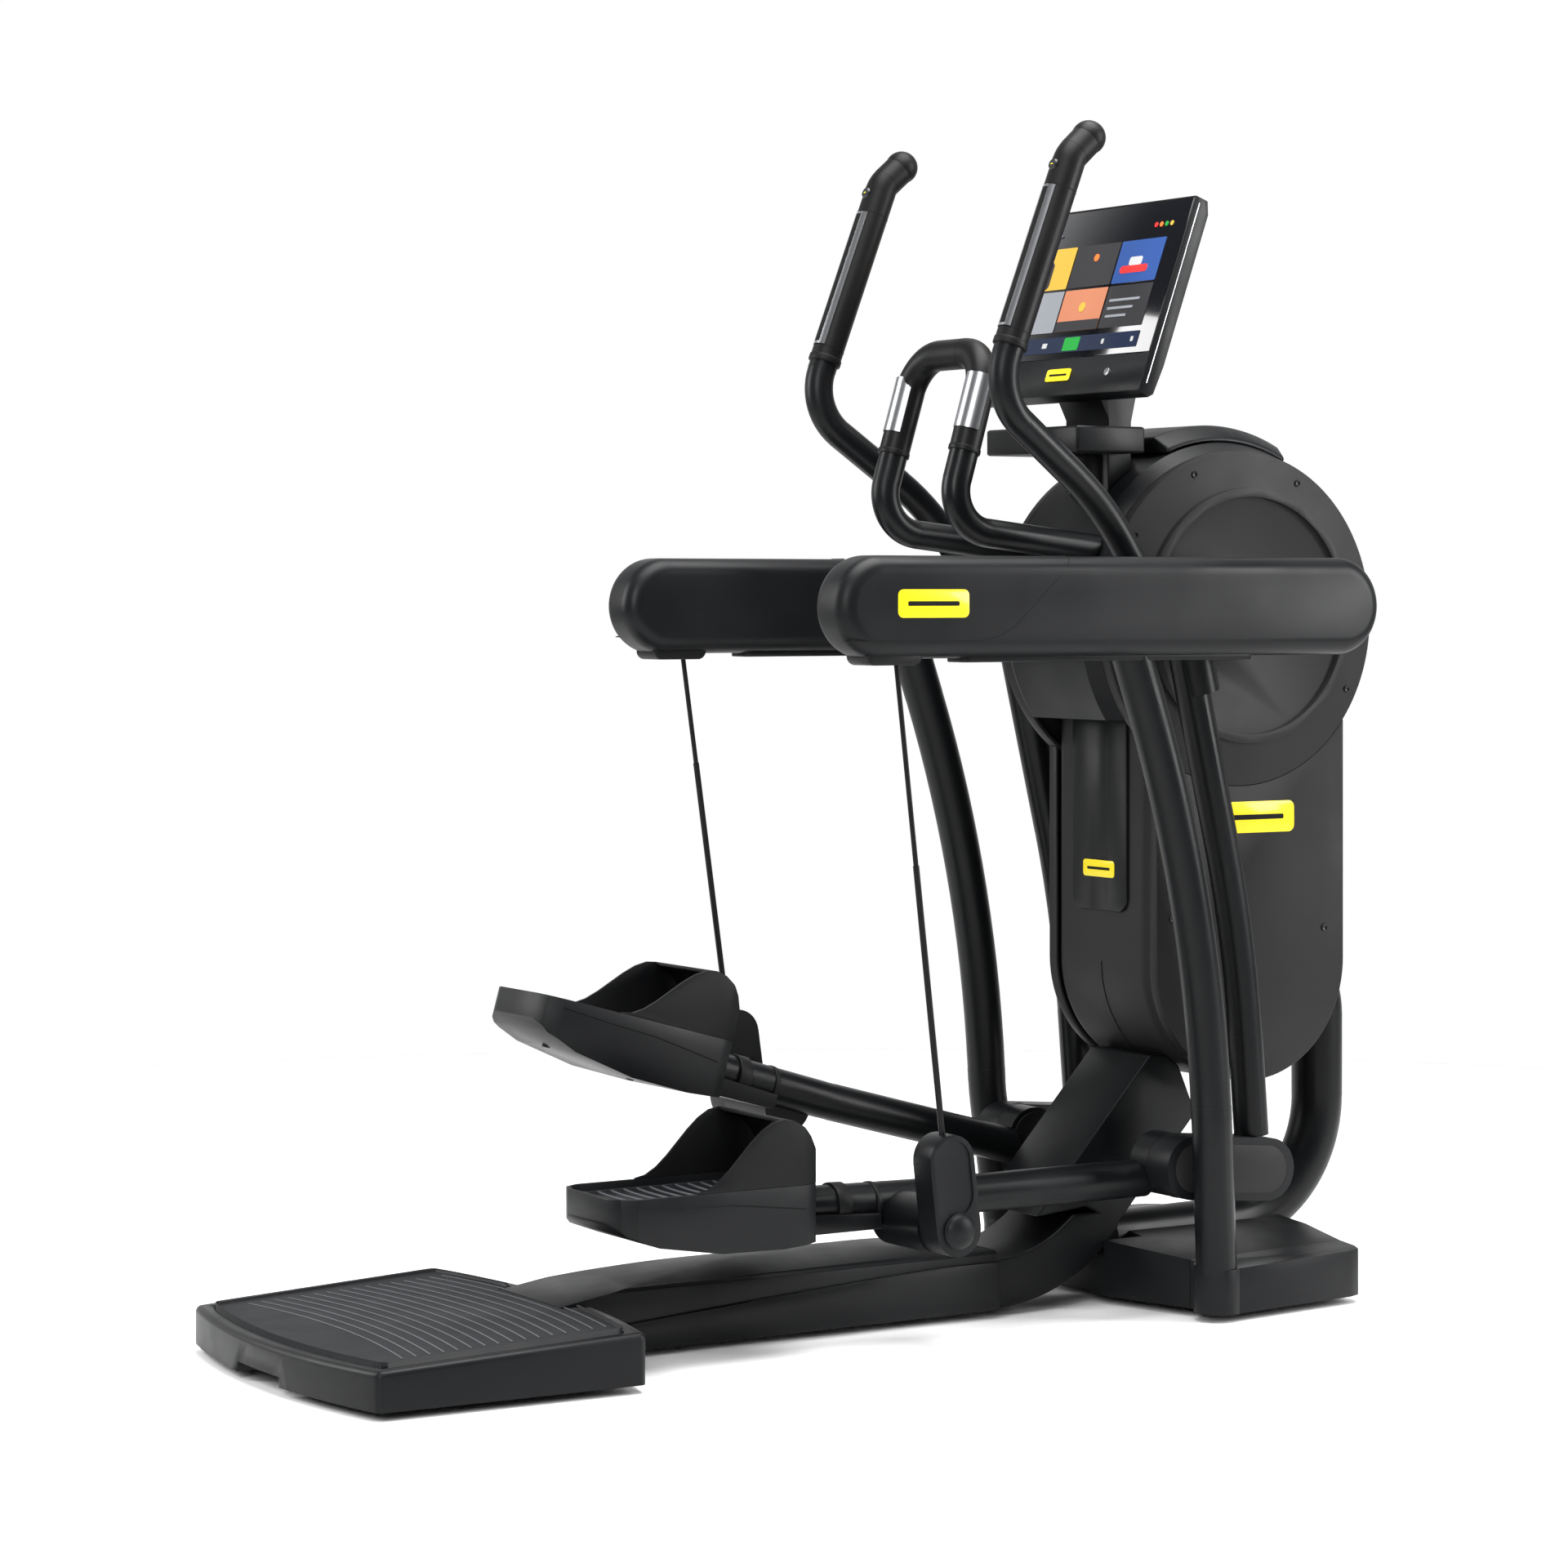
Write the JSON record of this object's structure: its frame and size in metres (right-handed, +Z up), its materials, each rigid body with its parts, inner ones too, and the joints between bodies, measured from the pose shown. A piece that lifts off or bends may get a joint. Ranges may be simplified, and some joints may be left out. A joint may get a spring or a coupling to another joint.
{
  "type": "elliptical_trainer",
  "caption": "Black elliptical trainer with side beams, cable-hung foot pedals, long swinging arms, a round-topped drive tower and a leaning display.",
  "frame": {"origin": "on the floor, under the middle of the overall box", "axes": "+X forward (the way a user faces), +Y to the user's left, +Z up"},
  "size_m": [1.8802, 0.679, 1.7695],
  "materials": {
    "frame_paint": "satin",
    "satin_plastic": "satin, fine texture",
    "pedal_plastic": "matte",
    "warm_grey_plastic": "matte",
    "tread_rubber": "matte",
    "foot_rubber": "matte",
    "grip_rubber": "soft matte",
    "belt_rubber": "matte",
    "cable_jacket": "satin",
    "button_plastic": "gloss",
    "screen_glass": "gloss, opaque",
    "cast_metal": "machined",
    "steel": "brushed"
  },
  "bodies": {
    "frame": {"step_platform": "satin_plastic", "step_tread": "tread_rubber", "levelling_feet": "foot_rubber", "base_beam": "frame_paint", "base_top_cover": "satin_plastic", "base_column": "frame_paint", "cross_base": "satin_plastic", "foot_covers": "satin_plastic", "right_leg": "frame_paint", "left_leg": "frame_paint", "front_loop": "frame_paint", "tower_shell": "warm_grey_plastic", "right_tower_cover": "warm_grey_plastic", "left_tower_cover": "warm_grey_plastic", "tower_insert": "satin_plastic", "drum_shell": "satin_plastic", "right_drum_cover": "warm_grey_plastic", "left_drum_cover": "warm_grey_plastic", "top_cowl": "satin_plastic", "cross_shaft": "steel", "right_beam": "satin_plastic", "left_beam": "satin_plastic", "right_beam_cover": "satin_plastic", "left_beam_cover": "satin_plastic", "handlebar": "frame_paint", "handlebar_grip": "grip_rubber", "console_neck": "satin_plastic", "console_tray": "satin_plastic", "display_case": "satin_plastic", "display_glass": "screen_glass", "drive_axle": "steel", "drive_belt": "belt_rubber"},
    "right_arm_body": {"right_arm": "frame_paint", "right_grip": "grip_rubber", "right_capsule": "satin_plastic"},
    "right_button_body": {"right_button": "button_plastic"},
    "right_lever_pin_body": {"right_lever_pin": "steel"},
    "right_lever_body": {"right_lever": "frame_paint", "right_pedal": "satin_plastic", "right_toe_cup": "pedal_plastic"},
    "right_link_pin_body": {"right_link_pin": "satin_plastic"},
    "right_link_body": {"right_cable_link": "satin_plastic", "right_cable_sleeve": "cable_jacket"},
    "right_cable_body": {"right_cable": "cable_jacket"},
    "right_pulley_body": {"right_beam_pulley": "steel"},
    "left_arm_body": {"left_arm": "frame_paint", "left_grip": "grip_rubber", "left_capsule": "satin_plastic"},
    "left_button_body": {"left_button": "button_plastic"},
    "left_lever_pin_body": {"left_lever_pin": "steel"},
    "left_lever_body": {"left_lever": "frame_paint", "left_pedal": "satin_plastic", "left_toe_cup": "pedal_plastic"},
    "left_link_pin_body": {"left_link_pin": "satin_plastic"},
    "left_link_body": {"left_cable_link": "satin_plastic", "left_cable_sleeve": "cable_jacket"},
    "left_cable_body": {"left_cable": "cable_jacket"},
    "left_pulley_body": {"left_beam_pulley": "steel"},
    "drive_wheel_body": {"drive_wheel": "cast_metal"},
    "flywheel_body": {"flywheel": "cast_metal"}
  },
  "joints": [
    {"name": "right_arm_swing", "type": "hinge", "parent": "frame", "child": "right_arm_body", "pos_m": [0.47, -0.22, 1.059], "axis": [0, 1, 0], "range_deg": [-15, 15]},
    {"name": "right_button_press", "type": "slide", "parent": "right_arm_body", "child": "right_button_body", "axis": [0.9336, 0, -0.3584], "range_m": [0, 0.002], "stiffness_N_per_m": 250, "springref_m": -0.001},
    {"name": "right_lever_pin_turn", "type": "hinge", "parent": "right_arm_body", "child": "right_lever_pin_body", "pos_m": [0.46, -0.2, 0.224], "axis": [0, 1, 0], "range_deg": [-20, 20]},
    {"name": "right_pedal_lift", "type": "hinge", "parent": "right_lever_pin_body", "child": "right_lever_body", "pos_m": [0.46, -0.178, 0.224], "axis": [0, 1, 0], "range_deg": [0, 15.5]},
    {"name": "right_link_pin_turn", "type": "hinge", "parent": "right_lever_body", "child": "right_link_pin_body", "pos_m": [-0.004, -0.25, 0.178], "axis": [0, 1, 0], "range_deg": [-22, 22]},
    {"name": "right_link_swing", "type": "hinge", "parent": "right_link_pin_body", "child": "right_link_body", "pos_m": [-0.004, -0.294, 0.178], "axis": [0, 1, 0], "range_deg": [-18, 0]},
    {"name": "right_cable_slide", "type": "slide", "parent": "right_link_body", "child": "right_cable_body", "axis": [-0.1158, 0, 0.9933], "range_m": [-0.13, 0]},
    {"name": "right_beam_pulley_spin", "type": "hinge", "parent": "frame", "child": "right_pulley_body", "pos_m": [-0.073, -0.297, 1.078], "axis": [0, 1, 0], "range_deg": [-5, 300]},
    {"name": "left_arm_swing", "type": "hinge", "parent": "frame", "child": "left_arm_body", "pos_m": [0.47, 0.22, 1.059], "axis": [0, 1, 0], "range_deg": [-15, 15]},
    {"name": "left_button_press", "type": "slide", "parent": "left_arm_body", "child": "left_button_body", "axis": [0.9336, 0, -0.3584], "range_m": [0, 0.002], "stiffness_N_per_m": 250, "springref_m": -0.001},
    {"name": "left_lever_pin_turn", "type": "hinge", "parent": "left_arm_body", "child": "left_lever_pin_body", "pos_m": [0.46, 0.2, 0.224], "axis": [0, 1, 0], "range_deg": [-20, 20]},
    {"name": "left_pedal_lift", "type": "hinge", "parent": "left_lever_pin_body", "child": "left_lever_body", "pos_m": [0.46, 0.178, 0.224], "axis": [0, 1, 0], "range_deg": [-15.5, 0]},
    {"name": "left_link_pin_turn", "type": "hinge", "parent": "left_lever_body", "child": "left_link_pin_body", "pos_m": [0.00058, 0.25, 0.30367], "axis": [0, 1, 0], "range_deg": [-22, 22]},
    {"name": "left_link_swing", "type": "hinge", "parent": "left_link_pin_body", "child": "left_link_body", "pos_m": [0.00058, 0.294, 0.30367], "axis": [0, 1, 0], "range_deg": [0, 18]},
    {"name": "left_cable_slide", "type": "slide", "parent": "left_link_body", "child": "left_cable_body", "axis": [-0.1423, 0, 0.9898], "range_m": [0, 0.13]},
    {"name": "left_beam_pulley_spin", "type": "hinge", "parent": "frame", "child": "left_pulley_body", "pos_m": [-0.073, 0.297, 1.078], "axis": [0, 1, 0], "range_deg": [-300, 5]},
    {"name": "drive_wheel_spin", "type": "hinge", "parent": "frame", "child": "drive_wheel_body", "pos_m": [0.676, 0, 1.03], "axis": [0, 1, 0], "continuous": true},
    {"name": "flywheel_spin", "type": "hinge", "parent": "frame", "child": "flywheel_body", "pos_m": [0.658, -0.05, 0.56], "axis": [0, 1, 0], "continuous": true}
  ],
  "couplings": [
    {"joint": "right_lever_pin_turn", "follows": "right_arm_swing", "ratio": -1.27},
    {"joint": "right_link_pin_turn", "follows": "right_arm_swing", "ratio": 1.38},
    {"joint": "right_link_swing", "follows": "right_pedal_lift", "ratio": -1.1},
    {"joint": "right_cable_slide", "follows": "right_pedal_lift", "m_per_rad": -0.458},
    {"joint": "right_beam_pulley_spin", "follows": "right_pedal_lift", "ratio": 19.1},
    {"joint": "left_lever_pin_turn", "follows": "right_arm_swing", "ratio": 1.27},
    {"joint": "left_link_pin_turn", "follows": "right_arm_swing", "ratio": -1.38},
    {"joint": "left_link_swing", "follows": "right_pedal_lift", "ratio": 1.1},
    {"joint": "left_cable_slide", "follows": "right_pedal_lift", "m_per_rad": 0.458},
    {"joint": "left_beam_pulley_spin", "follows": "right_pedal_lift", "ratio": -19.1},
    {"joint": "left_arm_swing", "follows": "right_arm_swing", "ratio": -1},
    {"joint": "left_pedal_lift", "follows": "right_pedal_lift", "ratio": -1},
    {"joint": "flywheel_spin", "follows": "drive_wheel_spin", "ratio": 3.099}
  ]
}
